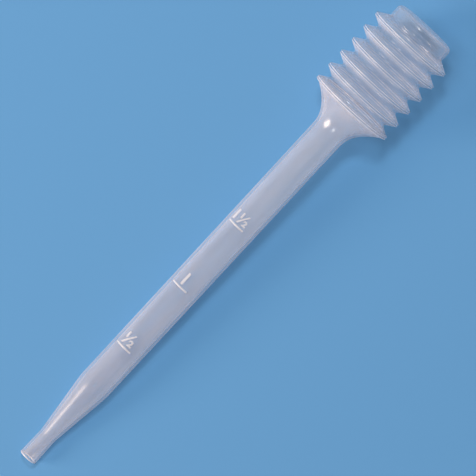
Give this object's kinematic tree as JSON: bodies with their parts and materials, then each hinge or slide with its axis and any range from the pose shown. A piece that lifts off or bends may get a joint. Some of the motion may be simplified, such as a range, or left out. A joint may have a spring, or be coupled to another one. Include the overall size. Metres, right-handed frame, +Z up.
{
  "type": "transfer pipette",
  "caption": "Moulded transfer pipette with a stepped dropping tip, a graduated barrel and a bellows bulb that squeezes along its axis.",
  "frame": {"origin": "on the ground plane, under the middle of the pipette's length, with the bellows crests standing on the plane", "axes": "+X along the pipette's axis from the tip to the closed end of the bellows; +Z up; the volume lines face up and a little towards +Y"},
  "size_m": [0.1228, 0.019, 0.019],
  "materials": {
    "stem_polyethylene": "satin",
    "bellows_polyethylene": "satin",
    "cap_polyethylene": "satin"
  },
  "bodies": {
    "stem": {"tip": "stem_polyethylene", "taper": "stem_polyethylene", "barrel": "stem_polyethylene", "shoulder": "stem_polyethylene", "crest_hoop_1": "bellows_polyethylene", "fold_wall_01": "bellows_polyethylene"},
    "valley_1": {"valley_hoop_1": "bellows_polyethylene", "fold_wall_02": "bellows_polyethylene"},
    "crest_2": {"crest_hoop_2": "bellows_polyethylene", "fold_wall_03": "bellows_polyethylene"},
    "valley_2": {"valley_hoop_2": "bellows_polyethylene", "fold_wall_04": "bellows_polyethylene"},
    "crest_3": {"crest_hoop_3": "bellows_polyethylene", "fold_wall_05": "bellows_polyethylene"},
    "valley_3": {"valley_hoop_3": "bellows_polyethylene", "fold_wall_06": "bellows_polyethylene"},
    "crest_4": {"crest_hoop_4": "bellows_polyethylene", "fold_wall_07": "bellows_polyethylene"},
    "valley_4": {"valley_hoop_4": "bellows_polyethylene", "fold_wall_08": "bellows_polyethylene"},
    "crest_5": {"crest_hoop_5": "bellows_polyethylene", "fold_wall_09": "bellows_polyethylene"},
    "valley_5": {"valley_hoop_5": "bellows_polyethylene", "fold_wall_10": "bellows_polyethylene"},
    "crest_6": {"crest_hoop_6": "bellows_polyethylene", "fold_wall_11": "bellows_polyethylene"},
    "cap": {"end_cap": "cap_polyethylene"}
  },
  "joints": [
    {"name": "bellows_squeeze", "type": "slide", "parent": "stem", "child": "cap", "axis": [-1, 0, 0], "range_m": [0, 0.0099], "stiffness_N_per_m": 450, "deforming": ["fold_wall_11"]},
    {"name": "valley_1_travel", "type": "slide", "parent": "stem", "child": "valley_1", "axis": [-1, 0, 0], "range_m": [0, 0.0009], "deforming": ["fold_wall_01"]},
    {"name": "crest_2_travel", "type": "slide", "parent": "stem", "child": "crest_2", "axis": [-1, 0, 0], "range_m": [0, 0.0018], "deforming": ["fold_wall_02"]},
    {"name": "valley_2_travel", "type": "slide", "parent": "stem", "child": "valley_2", "axis": [-1, 0, 0], "range_m": [0, 0.0027], "deforming": ["fold_wall_03"]},
    {"name": "crest_3_travel", "type": "slide", "parent": "stem", "child": "crest_3", "axis": [-1, 0, 0], "range_m": [0, 0.0036], "deforming": ["fold_wall_04"]},
    {"name": "valley_3_travel", "type": "slide", "parent": "stem", "child": "valley_3", "axis": [-1, 0, 0], "range_m": [0, 0.0045], "deforming": ["fold_wall_05"]},
    {"name": "crest_4_travel", "type": "slide", "parent": "stem", "child": "crest_4", "axis": [-1, 0, 0], "range_m": [0, 0.0054], "deforming": ["fold_wall_06"]},
    {"name": "valley_4_travel", "type": "slide", "parent": "stem", "child": "valley_4", "axis": [-1, 0, 0], "range_m": [0, 0.0063], "deforming": ["fold_wall_07"]},
    {"name": "crest_5_travel", "type": "slide", "parent": "stem", "child": "crest_5", "axis": [-1, 0, 0], "range_m": [0, 0.0072], "deforming": ["fold_wall_08"]},
    {"name": "valley_5_travel", "type": "slide", "parent": "stem", "child": "valley_5", "axis": [-1, 0, 0], "range_m": [0, 0.0081], "deforming": ["fold_wall_09"]},
    {"name": "crest_6_travel", "type": "slide", "parent": "stem", "child": "crest_6", "axis": [-1, 0, 0], "range_m": [0, 0.009], "deforming": ["fold_wall_10"]}
  ],
  "couplings": [
    {"joint": "valley_1_travel", "follows": "bellows_squeeze", "ratio": 0.090909},
    {"joint": "crest_2_travel", "follows": "bellows_squeeze", "ratio": 0.18182},
    {"joint": "valley_2_travel", "follows": "bellows_squeeze", "ratio": 0.27273},
    {"joint": "crest_3_travel", "follows": "bellows_squeeze", "ratio": 0.36364},
    {"joint": "valley_3_travel", "follows": "bellows_squeeze", "ratio": 0.45454},
    {"joint": "crest_4_travel", "follows": "bellows_squeeze", "ratio": 0.54546},
    {"joint": "valley_4_travel", "follows": "bellows_squeeze", "ratio": 0.63636},
    {"joint": "crest_5_travel", "follows": "bellows_squeeze", "ratio": 0.72727},
    {"joint": "valley_5_travel", "follows": "bellows_squeeze", "ratio": 0.81818},
    {"joint": "crest_6_travel", "follows": "bellows_squeeze", "ratio": 0.90909}
  ]
}
